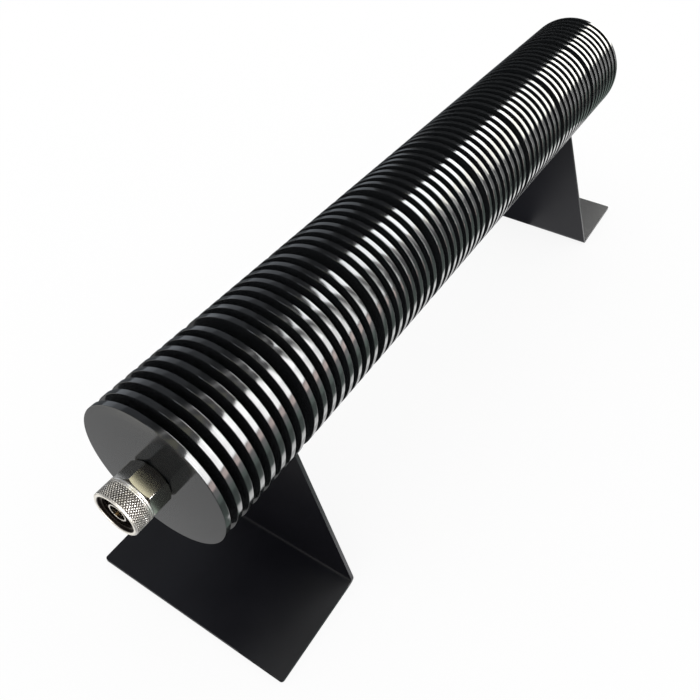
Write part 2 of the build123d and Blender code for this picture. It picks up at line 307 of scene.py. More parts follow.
def cut_away(mesh, cutters):
    """The mesh with each cutter's solid taken out of it."""
    body = bpy.data.objects.new("being_cut", mesh)
    tool = bpy.data.objects.new("cutter", mesh_from_grids("cutter", cutters))
    for item in (body, tool):
        bpy.context.scene.collection.objects.link(item)
    cut = body.modifiers.new("cut", "BOOLEAN")
    cut.operation = "DIFFERENCE"
    cut.solver = "EXACT"
    cut.object = tool
    graph = bpy.context.evaluated_depsgraph_get()
    result = bpy.data.meshes.new_from_object(body.evaluated_get(graph))
    bpy.data.objects.remove(body)
    bpy.data.objects.remove(tool)
    return result


def end_place(end, reach):
    """A Y place that lies a distance outside one of the body's end faces."""
    return END_FACE[end] + end * reach


def full_turn(steps):
    """Evenly spaced angles round the axis."""
    return np.linspace(0, 2 * math.pi, steps, endpoint=False)


def hexagon_turn():
    """Angles round the axis, closer together near the hexagon's corners, one corner upwards.

    From the middle of a flat the angle is half the flat's times (3s - sss) / 2, for even steps s
    from -1 to 1.
    """
    share = np.linspace(-1, 1, HEX_SIDE_STEPS, endpoint=False)
    side = HALF_FLAT * (1.5 * share - 0.5 * share ** 3)
    middles = np.radians(np.arange(6) * 60)
    return (middles[:, None] + side).ravel()


def eased(outline, ease, closed=True):
    """An outline whose corners are short curves.

    Each corner C gives way to the curve (1-t)(1-t)A + 2t(1-t)C + ttB, where A and B lie on its
    two sides, one ease from it, or less where a side is short. An open outline keeps its ends.
    """
    corners = np.asarray(outline, dtype=float)
    before = np.roll(corners, 1, axis=0) - corners
    after = np.roll(corners, -1, axis=0) - corners
    length_before = np.linalg.norm(before, axis=1)
    length_after = np.linalg.norm(after, axis=1)
    cut = np.minimum(ease, LONGEST_EASE * np.minimum(length_before, length_after))
    start = corners + before * (cut / length_before)[:, None]
    stop = corners + after * (cut / length_after)[:, None]
    share = np.linspace(0, 1, EASE_STEPS + 1)[None, :, None]
    curve = (
        (1 - share) ** 2 * start[:, None]
        + 2 * share * (1 - share) * corners[:, None]
        + share ** 2 * stop[:, None]
    )
    if closed:
        return curve.reshape(-1, 2)
    return np.vstack([corners[:1], curve[1:-1].reshape(-1, 2), corners[-1:]])


def turned(end, reach, radius, turn):
    """A turned grid: each (reach, radius) goes round the axis. Both may also vary with the angle."""
    reach, radius, angle = np.broadcast_arrays(reach, radius, turn)
    across = radius * np.cos(angle)
    along = END_FACE[end] + end * reach
    up = AXIS_HEIGHT + radius * np.sin(angle)
    return np.stack([across, along, up], axis=-1)


def zigzag(count):
    """A wave that is 0 at whole numbers and rises in straight lines to 1 halfway between them."""
    return 1 - np.abs(2 * (count - np.floor(count)) - 1)


def ramp(value, low, high):
    """0 below low, 1 above high, and a smooth S curve in between."""
    share = np.clip((value - low) / (high - low), 0, 1)
    return share * share * (3 - 2 * share)


def fading(reach, start, stop, length):
    """1 between two reaches, and down to 0 over a length inside each of them."""
    return ramp(reach, start, start + length) * (1 - ramp(reach, stop - length, stop))


def thread_rows(start, stop, crest, root, turn, hand):
    """Rows of a screw thread: the radius is a trapezium wave of reach over pitch minus angle.

    The crest and the root are flat for an eighth of the pitch each, and the thread fades into the
    crest's cylinder over half a pitch at both ends.
    """
    rows = int(round((stop - start) / THREAD_PITCH * THREAD_STEPS))
    reach = np.linspace(start, stop, rows)[:, None]
    wave = zigzag(reach / THREAD_PITCH - hand * turn / (2 * math.pi))
    shape = np.clip((wave - THREAD_FLAT) / (1 - 2 * THREAD_FLAT), 0, 1)
    fade = fading(reach, start, stop, THREAD_PITCH / 2)
    radius = crest + (root - crest) * (1 - shape) * fade
    return np.broadcast_to(reach, radius.shape), radius


def rows_of(outline, turn):
    """An outline's reach and radius, repeated for each angle."""
    outline = np.asarray(outline)
    shape = (len(outline), len(turn))
    return np.broadcast_to(outline[:, :1], shape), np.broadcast_to(outline[:, 1:], shape)


def turned_rows(end, parts, turn):
    """The turned grid of several stretches of reach and radius, one after the other."""
    reach = np.vstack([part[0] for part in parts])
    radius = np.vstack([part[1] for part in parts])
    return turned(end, reach, radius, turn)


def radiator_outline():
    """Reach inwards and radius of the whole body: bore, end faces, and each fin's rim."""
    groups, fins = np.meshgrid(np.arange(GROUP_COUNT), np.arange(FINS_PER_GROUP), indexing="ij")
    starts = (groups * GROUP_PITCH + fins * FIN_PITCH).ravel()
    soft = RIM_EASE * (1 - math.sqrt(0.5))
    back = FIN_THICKNESS
    one_fin = np.array([
        (0, CORE_RADIUS),
        (0, BODY_RADIUS - RIM_EASE),
        (soft, BODY_RADIUS - soft),
        (RIM_EASE, BODY_RADIUS),
        (back - RIM_EASE, BODY_RADIUS),
        (back - soft, BODY_RADIUS - soft),
        (back, BODY_RADIUS - RIM_EASE),
        (back, CORE_RADIUS),
    ])
    outline = starts[:, None, None] * np.array([1, 0]) + one_fin
    outline = outline.reshape(-1, 2)
    outline[0, 1] = BORE_RADIUS
    outline[-1, 1] = BORE_RADIUS
    return outline


def screw_hole_cutters():
    """A round bar up to the axis in the middle of each wide groove that holds no stand."""
    cutters = []
    turn = full_turn(SCREW_HOLE_STEPS)
    below = np.array([SCREW_HOLE_START, SCREW_HOLE_START, SCREW_HOLE_END, SCREW_HOLE_END])
    heights = AXIS_HEIGHT - below
    radii = SCREW_HOLE_RADIUS * np.array([0, 1, 1, 0])
    for groove in range(2, GROUP_COUNT - 1):
        along = END_FACE[INPUT] + groove * GROUP_PITCH - GROUP_SPACING / 2
        bar = np.stack([
            radii[:, None] * np.cos(turn),
            along + radii[:, None] * np.sin(turn),
            np.broadcast_to(heights[:, None], (4, len(turn))),
        ], axis=-1)
        cutters.append((bar, False, True))
    return cutters


def make_radiator_body(material):
    """The finned cylinder, turned from one bar, with the clamp screws' holes from below."""
    outline = radiator_outline()
    grid = turned(INPUT, -outline[:, :1], outline[:, 1:], full_turn(RIM_STEPS))
    mesh = mesh_from_grids("radiator_body_turned", [(grid, True, True)], weld=False)
    mesh.flip_normals()
    mesh = cut_away(mesh, screw_hole_cutters())
    finish_piece("radiator_body_turned", mesh, ATTENUATOR, material,
                 ["radiator_body"])


def stand_half(side):
    """Half of a folded sheet's outer face, as a grid along the sheet and across it.

    Along the sheet it runs from the foot's tip to the bend's quarter circle and up to the top.
    Across, it runs from the inner edge, which is the middle line and then the saddle's circle, to
    the outer edge, which is straight, tapers, and is rounded at the foot's and the horn's corner.
    """
    foot_depth = stand_high.y - stand_low.y
    half_width = (stand_high.x - stand_low.x) / 2
    horn_outside = SADDLE_RADIUS + HORN_WIDTH

    tip = FOOT_CORNER_RADIUS * (1 - np.cos(np.linspace(0, math.pi / 2, FOOT_TIP_STEPS)))
    bend = np.linspace(0, math.pi / 2, BEND_STEPS)
    saddle = np.radians(SADDLE_ANGLES)
    depth = np.concatenate([
        foot_depth - tip,
        BEND_RADIUS * (1 - np.sin(bend)),
        np.zeros(len(saddle)),
    ])
    height = np.concatenate([
        np.zeros(len(tip)),
        BEND_RADIUS * (1 - np.cos(bend)),
        AXIS_HEIGHT - SADDLE_RADIUS * np.cos(saddle),
    ])
    inner = np.concatenate([
        np.zeros(len(tip) + len(bend)),
        SADDLE_RADIUS * np.sin(saddle),
    ])
    foot_round = FOOT_CORNER_RADIUS - np.sqrt(
        np.maximum(FOOT_CORNER_RADIUS ** 2 - (FOOT_CORNER_RADIUS - tip) ** 2, 0))
    taper = np.clip((height - TAPER_START) / (AXIS_HEIGHT - HORN_LENGTH - TAPER_START), 0, 1)
    outer = half_width + (horn_outside - half_width) * taper
    outer[:len(tip)] -= foot_round
    above = np.maximum(height - (AXIS_HEIGHT - HORN_CORNER_RADIUS), 0)
    outer -= HORN_CORNER_RADIUS - np.sqrt(np.maximum(HORN_CORNER_RADIUS ** 2 - above ** 2, 0))
    share = np.linspace(0, 1, HALF_SHEET_STEPS)
    across = side * (inner[:, None] + (outer - inner)[:, None] * share)
    return np.broadcast_arrays(across, depth[:, None], height[:, None])


def make_stand(name, node, end, material):
    """A folded sheet: foot, bend and tapering upright with its saddle, in one even thickness."""
    low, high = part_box(node)
    upright_back = high.y if end == INPUT else low.y
    grids = []
    for side in (-1, 1):
        across, depth, height = stand_half(side)
        grid = np.stack([across, upright_back + end * depth, height], axis=-1)
        grids.append((grid, False, False))
    mesh = mesh_from_grids(name, grids)
    if mesh.polygons[0].normal.z > 0:
        mesh.flip_normals()
    piece = linked(name, mesh, material)
    smooth(mesh)
    wall = piece.modifiers.new("sheet_thickness", "SOLIDIFY")
    wall.thickness = SHEET_THICKNESS
    wall.offset = -1
    wall.use_even_offset = True
    edges = piece.modifiers.new("eased_edges", "BEVEL")
    edges.width = SHEET_EASE
    edges.segments = SHEET_EASE_STEPS
    edges.limit_method = "ANGLE"
    edges.angle_limit = math.radians(SHEET_EDGE_ANGLE)
    edges.harden_normals = True
    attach(piece, ATTENUATOR)
    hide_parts(node)


def hexagon_rows(end, turn):
    """Four rows of the spanner hexagon, with eased corners and both ends bevelled by a cone.

    At angle a from the middle of a flat the hexagon's radius is its apothem over the cosine of a,
    and near a corner it is a small circle tangent to both flats. The cone starts at the flat radius
    and reaches the hexagon where its slope has made up the difference.
    """
    from_middle = (turn + HALF_FLAT) % math.radians(60) - HALF_FLAT
    flat = HEX_APOTHEM / np.cos(from_middle)
    from_corner = HALF_FLAT - np.abs(from_middle)
    centre = (HEX_APOTHEM - HEX_CORNER_EASE) / math.cos(HALF_FLAT)
    tangent = math.atan2(HEX_CORNER_EASE * math.sin(HALF_FLAT),
                         centre + HEX_CORNER_EASE * math.cos(HALF_FLAT))
    inside = np.maximum(HEX_CORNER_EASE ** 2 - (centre * np.sin(from_corner)) ** 2, 0)
    corner = centre * np.cos(from_corner) + np.sqrt(inside)
    radius = np.where(from_corner < tangent, np.minimum(corner, flat), flat)
    corner_radius = HEX_APOTHEM / math.cos(HALF_FLAT)
    rear_radius = corner_radius - HEX_REAR_BEVEL * HEX_BEVEL_SLOPE
    front_radius = corner_radius - HEX_FRONT_BEVEL * HEX_BEVEL_SLOPE
    rear = np.maximum(radius - rear_radius, 0) / HEX_BEVEL_SLOPE
    front = HEX_LENGTH[end] - np.maximum(radius - front_radius, 0) / HEX_BEVEL_SLOPE
    reach = np.stack([np.zeros_like(rear), rear, front, np.full_like(rear, HEX_LENGTH[end])])
    return reach, np.stack([np.minimum(radius, rear_radius), radius, radius,
                            np.minimum(radius, front_radius)])


def slot_cutters(end, start, stop, width, across, angles):
    """Thin boxes through the axis that saw a contact's fingers apart."""
    cutters = []
    for angle in angles:
        sideways = np.array([math.cos(angle), 0, math.sin(angle)])
        thick = np.array([-math.sin(angle), 0, math.cos(angle)]) * width / 2
        middle = np.array([0, 0, AXIS_HEIGHT])
        corners = []
        for place, size in ((start, 0), (start, 1), (stop, 1), (stop, 0)):
            centre = middle + np.array([0, end_place(end, place), 0])
            ring = [sideways * across - thick, sideways * across + thick,
                    -sideways * across + thick, -sideways * across - thick]
            corners.append([centre + size * point for point in ring])
        cutters.append((np.array(corners), False, True))
    return cutters


def spigot_rows(turn):
    """The spigot in the radiator's bore, from the bead's seat to the end face."""
    return rows_of([
        (-SPIGOT_LENGTH, BEAD_SEAT_RADIUS),
        (-SPIGOT_LENGTH, SPIGOT_RADIUS),
        (0, SPIGOT_RADIUS),
    ], turn)


def make_input_connector_body(material):
    """Spigot, hexagon, neck with the ring's groove, and the slotted outer contact sleeve."""
    turn = hexagon_turn()
    front = eased([
        (HEX_LENGTH[INPUT], NECK_RADIUS),
        (RING_GROOVE_START, NECK_RADIUS),
        (RING_GROOVE_START, RING_GROOVE_RADIUS),
        (RING_GROOVE_END, RING_GROOVE_RADIUS),
        (RING_GROOVE_END, NECK_RADIUS),
        (NECK_REACH, NECK_RADIUS),
        (NECK_REACH, GASKET_SEAT_RADIUS),
        (NECK_REACH + GASKET_THICKNESS, GASKET_SEAT_RADIUS),
        (NECK_REACH + GASKET_THICKNESS, SLEEVE_RADIUS),
        (SLEEVE_REACH, SLEEVE_RADIUS),
        (SLEEVE_REACH, LINE_RADIUS),
        (0, LINE_RADIUS),
        (0, BEAD_SEAT_RADIUS),
    ], EDGE_EASE, closed=False)
    parts = [spigot_rows(turn), hexagon_rows(INPUT, turn), rows_of(front, turn)]
    grid = turned_rows(INPUT, parts, turn)
    mesh = mesh_from_grids("input_connector_shell", [(grid, True, True)])
    slots = slot_cutters(INPUT, SLEEVE_REACH - SLEEVE_SLOT_LENGTH, SLEEVE_REACH + SAW_OVERRUN,
                         SLEEVE_SLOT_WIDTH, NECK_RADIUS, np.radians(SLEEVE_SLOT_ANGLES))
    mesh = cut_away(mesh, slots)
    finish_piece("input_connector_shell", mesh, ATTENUATOR, material,
                 ["input_connector_body"])


def make_output_connector_body(material):
    """Spigot, hexagon, thread relief, the threaded barrel and its mouth."""
    turn = hexagon_turn()
    relief_end = HEX_LENGTH[OUTPUT] + THREAD_RELIEF_WIDTH
    relief = rows_of([(HEX_LENGTH[OUTPUT], THREAD_RELIEF_RADIUS),
                      (relief_end, THREAD_RELIEF_RADIUS), (relief_end, THREAD_CREST)], turn)
    thread = thread_rows(relief_end, THREAD_REACH - THREAD_BEVEL, THREAD_CREST, THREAD_ROOT,
                         turn, -1)
    mouth = eased([
        (THREAD_REACH - THREAD_BEVEL, THREAD_CREST),
        (THREAD_REACH, THREAD_CREST - THREAD_BEVEL),
        (THREAD_REACH, MOUTH_RADIUS),
        (THREAD_REACH - MOUTH_DEPTH, MOUTH_RADIUS),
        (THREAD_REACH - MOUTH_DEPTH, LINE_RADIUS),
        (0, LINE_RADIUS),
        (0, BEAD_SEAT_RADIUS),
    ], EDGE_EASE, closed=False)
    parts = [spigot_rows(turn), hexagon_rows(OUTPUT, turn), relief, thread, rows_of(mouth, turn)]
    grid = turned_rows(OUTPUT, parts, turn)
    mesh = mesh_from_grids("output_connector_shell", [(grid, True, True)])
    finish_piece("output_connector_shell", mesh, ATTENUATOR, material,
                 ["output_connector_body"])


def knurl_rows(start, stop, turn):
    """Rows of a diamond knurl, cut by two sets of V grooves that wind opposite ways.

    Each point lies as deep as the nearer of two zigzag waves says, one of angle plus reach and one
    of angle minus reach. The diamonds' tips are flat, and the knurl fades out at both ends.
    """
    rows = int(round((stop - start) / KNURL_PITCH * KNURL_ROWS))
    reach = np.linspace(start, stop, rows)[:, None]
    around = turn * KNURL_COUNT / (2 * math.pi)
    along = (reach - start) / KNURL_PITCH
    height = np.minimum(zigzag(around + along), zigzag(around - along))
    height = np.clip(height * KNURL_STEEPNESS, 0, 1)
    fade = fading(reach, start, stop, KNURL_MARGIN)
    radius = NUT_RADIUS - KNURL_DEPTH * (1 - height) * fade
    return np.broadcast_to(reach, radius.shape), radius


def paint_groove_shade(mesh, start, stop):
    """Write painted shade on the knurl: 0 on a diamond's tip, rising to 1 in a groove with each
    point's depth.

    The depth is the nut's radius less the point's own, over the knurl's depth. The walls inside the
    mouth get painted shade nearly as dark as a groove, and everything else is 0.
    """
    points = np.empty(len(mesh.vertices) * 3)
    mesh.vertices.foreach_get("co", points)
    x, y, z = points.reshape(-1, 3).T
    reach = END_FACE[INPUT] - y
    below = (NUT_RADIUS - np.hypot(x, z - AXIS_HEIGHT)) / KNURL_DEPTH
    on_knurl = (reach > start) & (reach < stop) & (below < KNURL_DEEPEST)
    inside = (below > MOUTH_SHALLOWEST) & (reach < NUT_FRONT - NUT_MOUTH_BEVEL / 2)
    depth = np.clip(np.where(on_knurl, below, MOUTH_SHADE * inside), 0, 1)
    mesh.attributes.new("groove_depth", "FLOAT", "POINT").data.foreach_set("value", depth)


def make_coupling_nut(material):
    """The knurled ring nut: collar, groove, knurl, mouth, inner thread, relief and ring groove."""
    turn = full_turn(KNURL_COUNT * KNURL_STEPS)
    wall_front = NUT_BACK + NUT_WALL
    ring_middle = NUT_BACK + NUT_WALL / 2
    groove = NUT_BACK + NUT_COLLAR_LENGTH
    knurl_start = groove + NUT_GROOVE_WIDTH
    knurl_stop = NUT_FRONT - NUT_BEVEL
    thread_start = wall_front + NUT_RELIEF_LENGTH
    thread_stop = NUT_FRONT - NUT_MOUTH_DEPTH
    rear = eased([
        (ring_middle - NUT_RING_GROOVE_HALF, NUT_BORE),
        (NUT_BACK, NUT_BORE),
        (NUT_BACK, NUT_RADIUS - NUT_BEVEL),
        (NUT_BACK + NUT_BEVEL, NUT_RADIUS),
        (groove, NUT_RADIUS),
        (groove, NUT_RADIUS - NUT_GROOVE_DEPTH),
        (knurl_start, NUT_RADIUS - NUT_GROOVE_DEPTH),
        (knurl_start, NUT_RADIUS),
    ], EDGE_EASE, closed=False)
    front = eased([
        (knurl_stop, NUT_RADIUS),
        (NUT_FRONT, NUT_RADIUS - NUT_BEVEL),
        (NUT_FRONT, NUT_MOUTH_RADIUS + NUT_MOUTH_BEVEL),
        (NUT_FRONT - NUT_MOUTH_BEVEL, NUT_MOUTH_RADIUS),
        (thread_stop, NUT_MOUTH_RADIUS),
        (thread_stop, NUT_THREAD_CREST),
    ], EDGE_EASE, closed=False)
    inside = eased([
        (thread_start, NUT_THREAD_CREST),
        (thread_start, NUT_RELIEF_RADIUS),
        (wall_front, NUT_RELIEF_RADIUS),
        (wall_front, NUT_BORE),
        (ring_middle + NUT_RING_GROOVE_HALF, NUT_BORE),
        (ring_middle + NUT_RING_GROOVE_HALF, NUT_RING_GROOVE_RADIUS),
        (ring_middle - NUT_RING_GROOVE_HALF, NUT_RING_GROOVE_RADIUS),
    ], EDGE_EASE, closed=False)
    thread_reach, thread_radius = thread_rows(thread_start, thread_stop, NUT_THREAD_CREST,
                                              NUT_THREAD_ROOT, turn, 1)
    parts = [
        rows_of(rear, turn),
        knurl_rows(knurl_start, knurl_stop, turn),
        rows_of(front, turn),
        (thread_reach[::-1], thread_radius[::-1]),
        rows_of(inside, turn),
    ]
    grid = turned_rows(INPUT, parts, turn)
    mesh = mesh_from_grids("coupling_nut_knurled", [(grid, True, True)])
    paint_groove_shade(mesh, knurl_start, knurl_stop)
    finish_piece("coupling_nut_knurled", mesh, NUT, material, ["coupling_nut"],
                 KNURL_CREASE_ANGLE)


def make_turned_piece(name, node, end, outline, closed, material, cutters=()):
    """A small turned piece with eased edges. An open outline starts and ends on the axis."""
    turn = full_turn(SMALL_TURN_STEPS)
    grid = turned_rows(end, [rows_of(eased(outline, EDGE_EASE, closed), turn)], turn)
    mesh = mesh_from_grids(name, [(grid, closed, True)])
    if cutters:
        mesh = cut_away(mesh, cutters)
    finish_piece(name, mesh, ATTENUATOR, material, [node])


def make_bead(name, node, end, reach, material):
    """The white insulator: a sleeve round the pin with a flange behind."""
    back = RETAINER_LENGTH - SPIGOT_LENGTH
    front = back + BEAD_FLANGE_LENGTH
    inside = PIN_BODY_RADIUS + SEAT_CLEARANCE
    outline = [
        (back, inside),
        (reach, inside),
        (reach, LINE_RADIUS - SEAT_CLEARANCE),
        (front, LINE_RADIUS - SEAT_CLEARANCE),
        (front, BEAD_SEAT_RADIUS - SEAT_CLEARANCE),
        (back, BEAD_SEAT_RADIUS - SEAT_CLEARANCE),
    ]
    make_turned_piece(name, node, end, outline, True, material)


def make_input_centre_pin(material):
    """Thick body through the bead, then the thin mating pin with a tapered tip."""
    shoulder = INPUT_PIN_REACH - MATING_PIN_LENGTH
    outline = [
        (-SPIGOT_LENGTH - PIN_TAIL_REACH, 0),
        (-SPIGOT_LENGTH - PIN_TAIL_REACH, PIN_BODY_RADIUS),
        (shoulder - PIN_TIP_LENGTH, PIN_BODY_RADIUS),
        (shoulder, MATING_PIN_RADIUS),
        (INPUT_PIN_REACH - PIN_TIP_LENGTH, MATING_PIN_RADIUS),
        (INPUT_PIN_REACH, MATING_PIN_RADIUS / 2),
        (INPUT_PIN_REACH, 0),
    ]
    make_turned_piece("input_centre_pin_turned", "input_centre_pin", INPUT, outline, False,
                      material, ribbon_slot(INPUT))


def make_output_centre_socket(material):
    """Thick body through the bead, bored and sawn at its front to grip a pin."""
    outline = [
        (-SPIGOT_LENGTH - PIN_TAIL_REACH, 0),
        (-SPIGOT_LENGTH - PIN_TAIL_REACH, PIN_BODY_RADIUS),
        (SOCKET_REACH, PIN_BODY_RADIUS),
        (SOCKET_REACH, SOCKET_BORE_RADIUS),
        (SOCKET_REACH - SOCKET_BORE_DEPTH, SOCKET_BORE_RADIUS),
        (SOCKET_REACH - SOCKET_BORE_DEPTH, 0),
    ]
    slots = slot_cutters(OUTPUT, SOCKET_REACH - SOCKET_SLOT_LENGTH, SOCKET_REACH + SAW_OVERRUN,
                         SOCKET_SLOT_WIDTH, 2 * PIN_BODY_RADIUS, [0])
    make_turned_piece("output_centre_socket_turned", "output_centre_socket", OUTPUT, outline,
                      False, material, slots + ribbon_slot(OUTPUT))


def ribbon_slot(end):
    """The flat cut in a centre conductor's tail that takes the launch tab."""
    tail = -SPIGOT_LENGTH - PIN_TAIL_REACH
    return slot_cutters(end, tail - SAW_OVERRUN, tail + RIBBON_SLOT_DEPTH, RIBBON_THICKNESS,
                        RIBBON_SLOT_HALF, [0])


def make_gasket(material):
    """The sealing ring on the front of the neck, round the sleeve."""
    inside = GASKET_SEAT_RADIUS + SEAT_CLEARANCE
    outline = [
        (NECK_REACH, inside),
        (NECK_REACH + GASKET_THICKNESS, inside),
        (NECK_REACH + GASKET_THICKNESS, GASKET_OUTSIDE),
        (NECK_REACH, GASKET_OUTSIDE),
    ]
    make_turned_piece("input_gasket_ring", "input_gasket", INPUT, outline, True, material)


def make_bead_retainer(name, node, end, material):
    """The bush behind the bead, flush with the spigot's end."""
    outside = BEAD_SEAT_RADIUS - SEAT_CLEARANCE
    outline = [
        (-SPIGOT_LENGTH, LINE_RADIUS),
        (RETAINER_LENGTH - SPIGOT_LENGTH, LINE_RADIUS),
        (RETAINER_LENGTH - SPIGOT_LENGTH, outside),
        (-SPIGOT_LENGTH, outside),
    ]
    make_turned_piece(name, node, end, outline, True, material)


class Shader:
    """A node tree under construction, with short ways to add and join its nodes."""

    def __init__(self, tree):
        self.tree = tree
        self.tree.nodes.clear()

    def node(self, kind, settings=None, **inputs):
        """Add a node, set its settings, and set or link its inputs by name."""
        added = self.tree.nodes.new(kind)
        for setting, value in (settings or {}).items():
            setattr(added, setting, value)
        for label, value in inputs.items():
            self.feed(added, label.replace("_", " "), value)
        return added

    def feed(self, added, label, value):
        """Set or link one input, given by its name or its number."""
        socket = added.inputs[label]
        if isinstance(value, bpy.types.NodeSocket):
            self.tree.links.new(value, socket)
        else:
            socket.default_value = value

    def math(self, operation, first, second=0.0):
        """The output of a math node."""
        added = self.node("ShaderNodeMath", {"operation": operation})
        self.feed(added, 0, first)
        self.feed(added, 1, second)
        return added.outputs[0]

    def mix_colour(self, share, first, second):
        """The output of a colour mix."""
        added = self.node("ShaderNodeMix", {"data_type": "RGBA"})
        self.feed(added, 0, share)
        self.feed(added, 6, first)
        self.feed(added, 7, second)
        return added.outputs[2]

    def span(self, value, low, high, to_low, to_high):
        """A value carried from one range to another and kept inside it."""
        added = self.node("ShaderNodeMapRange")
        for number, item in enumerate((value, low, high, to_low, to_high)):
            self.feed(added, number, item)
        return added.outputs[0]

    def show(self, surface):
        """Make a shader node the material's surface."""
        self.node("ShaderNodeOutputMaterial", Surface=surface.outputs[0])


def new_material(name):
    """An empty material and its node tree under construction."""
    material = bpy.data.materials.new(name)
    material.use_nodes = True
    return material, Shader(material.node_tree)


def new_group(name, inputs, outputs):
    """A shader node group with named number inputs and outputs."""
    tree = bpy.data.node_groups.new(name, "ShaderNodeTree")
    shader = Shader(tree)
    for label, value in inputs.items():
        socket = tree.interface.new_socket(label, in_out="INPUT", socket_type="NodeSocketFloat")
        socket.default_value = value
    for label in outputs:
        tree.interface.new_socket(label, in_out="OUTPUT", socket_type="NodeSocketFloat")
    entry = shader.node("NodeGroupInput")
    leave = shader.node("NodeGroupOutput")
    return shader, entry, leave


def turning_marks_group():
    """Fine lines that a lathe leaves round the axis, and softer streaks that follow the turning.

    The lines are noise over radius and length, so that they circle the axis on every face. The
    streaks are noise over length, radius and a small circle that a point runs round with its angle.
    So they are short across the turning, long along it, and close on themselves.
    """
    shader, entry, leave = new_group(
        "turning_marks",
        {"Fineness": 9000.0, "Patch Size": 60.0},
        ["Height", "Patches"],
    )
    place = shader.node("ShaderNodeTexCoord").outputs["Object"]
    centred = shader.node("ShaderNodeMapping", Vector=place, Location=(0, 0, -AXIS_HEIGHT))
    parts = shader.node("ShaderNodeSeparateXYZ", Vector=centred.outputs[0])
    across = shader.math("POWER", parts.outputs[0], 2.0)
    up = shader.math("POWER", parts.outputs[2], 2.0)
    radius = shader.math("SQRT", shader.math("ADD", across, up))
    flat = shader.node("ShaderNodeCombineXYZ", X=radius, Y=parts.outputs[1])
    lines = shader.node("ShaderNodeTexNoise", {"noise_dimensions": "2D"}, Vector=flat.outputs[0],
                        Scale=entry.outputs["Fineness"], Detail=2.0, Roughness=0.6)
    shrink = shader.math("DIVIDE", STREAK_CIRCLE, radius)
    streak = shader.node("ShaderNodeCombineXYZ", Y=parts.outputs[1],
                         X=shader.math("MULTIPLY", parts.outputs[0], shrink),
                         Z=shader.math("MULTIPLY", parts.outputs[2], shrink))
    patches = shader.node("ShaderNodeTexNoise", {"noise_dimensions": "4D"},
                          Vector=streak.outputs[0], W=radius, Detail=2.0, Roughness=0.6,
                          Scale=entry.outputs["Patch Size"])
    shader.feed(leave, "Height", lines.outputs[0])
    shader.feed(leave, "Patches", patches.outputs[0])
    return shader.tree


def fine_grain_group():
    """The even grain of an etched or moulded surface, with slow patches."""
    shader, entry, leave = new_group(
        "fine_grain",
        {"Fineness": 4000.0, "Patch Size": 40.0},
        ["Height", "Patches"],
    )
    place = shader.node("ShaderNodeTexCoord").outputs["Object"]
    grain = shader.node("ShaderNodeTexNoise", Vector=place, Scale=entry.outputs["Fineness"],
                        Detail=2.0, Roughness=0.6)
    patches = shader.node("ShaderNodeTexNoise", Vector=place,
                          Scale=entry.outputs["Patch Size"], Detail=3.0, Roughness=0.55)
    shader.feed(leave, "Height", grain.outputs[0])
    shader.feed(leave, "Patches", patches.outputs[0])
    return shader.tree


def surface_material(name, group, fineness, patch_size, base, patch_base, metallic, roughness,
                     bump_strength=0.0, bump_distance=0.0, ior=1.5, sheen_drift=0.04,
                     groove_shade_colour=None):
    """A material whose colour, roughness and sheen drift with a group's patches.

    roughness is a pair: the smoothest and the roughest that the patches make it. sheen_drift is how
    far its specular level goes up and down. The group's height makes the bump, where it has any
    strength. A dark groove colour, where given, is painted shade: the colour goes over to it as the
    mesh's painted shade attribute goes to 1.
    """
    material, shader = new_material(name)
    marks = shader.node("ShaderNodeGroup", {"node_tree": group}, Fineness=fineness,
                        Patch_Size=patch_size)
    patches = marks.outputs["Patches"]
    colour = shader.mix_colour(shader.span(patches, *COLOUR_RANGE, 0.0, 1.0), base, patch_base)
    # Painted shade: the colour darkens towards the given dark colour by the mesh's painted shade
    # attribute
    if groove_shade_colour:
        depth = shader.node("ShaderNodeAttribute", {"attribute_name": "groove_depth"})
        painted_shade = shader.span(depth.outputs["Fac"], *GROOVE_SHADE_RANGE, 0.0, 1.0)
        colour = shader.mix_colour(painted_shade, colour, groove_shade_colour)
    uneven = shader.span(patches, *DRIFT_RANGE, *roughness)
    sheen = shader.span(patches, *DRIFT_RANGE, EVEN_SHEEN + sheen_drift, EVEN_SHEEN - sheen_drift)
    principled = shader.node("ShaderNodeBsdfPrincipled", Base_Color=colour, Metallic=metallic,
                             Roughness=uneven, IOR=ior, Specular_IOR_Level=sheen)
    if bump_strength:
        bump = shader.node("ShaderNodeBump", Strength=bump_strength, Distance=bump_distance,
                           Height=marks.outputs["Height"])
        shader.feed(principled, "Normal", bump.outputs[0])
    shader.show(principled)
    return material


def card_film_material(group):
    """Ceramic with a dark resistive film along its middle."""
    material, shader = new_material("film_on_ceramic")
    marks = shader.node("ShaderNodeGroup", {"node_tree": group}, Fineness=2500.0)
    place = shader.node("ShaderNodeTexCoord").outputs["Object"]
    parts = shader.node("ShaderNodeSeparateXYZ", Vector=place)
    off_middle = shader.math("ABSOLUTE", parts.outputs[0])
    film = shader.span(off_middle, *FILM_EDGE, 0.0, 1.0)
    ceramic = shader.mix_colour(marks.outputs["Patches"], (0.86, 0.85, 0.8, 1),
                                (0.8, 0.79, 0.74, 1))
    colour = shader.mix_colour(film, ceramic, (0.035, 0.03, 0.03, 1))
    bump = shader.node("ShaderNodeBump", Strength=0.2, Distance=0.02 * MM,
                       Height=marks.outputs["Height"])
    principled = shader.node("ShaderNodeBsdfPrincipled", Base_Color=colour, Roughness=0.4,
                             Normal=bump.outputs[0])
    shader.show(principled)
    return material


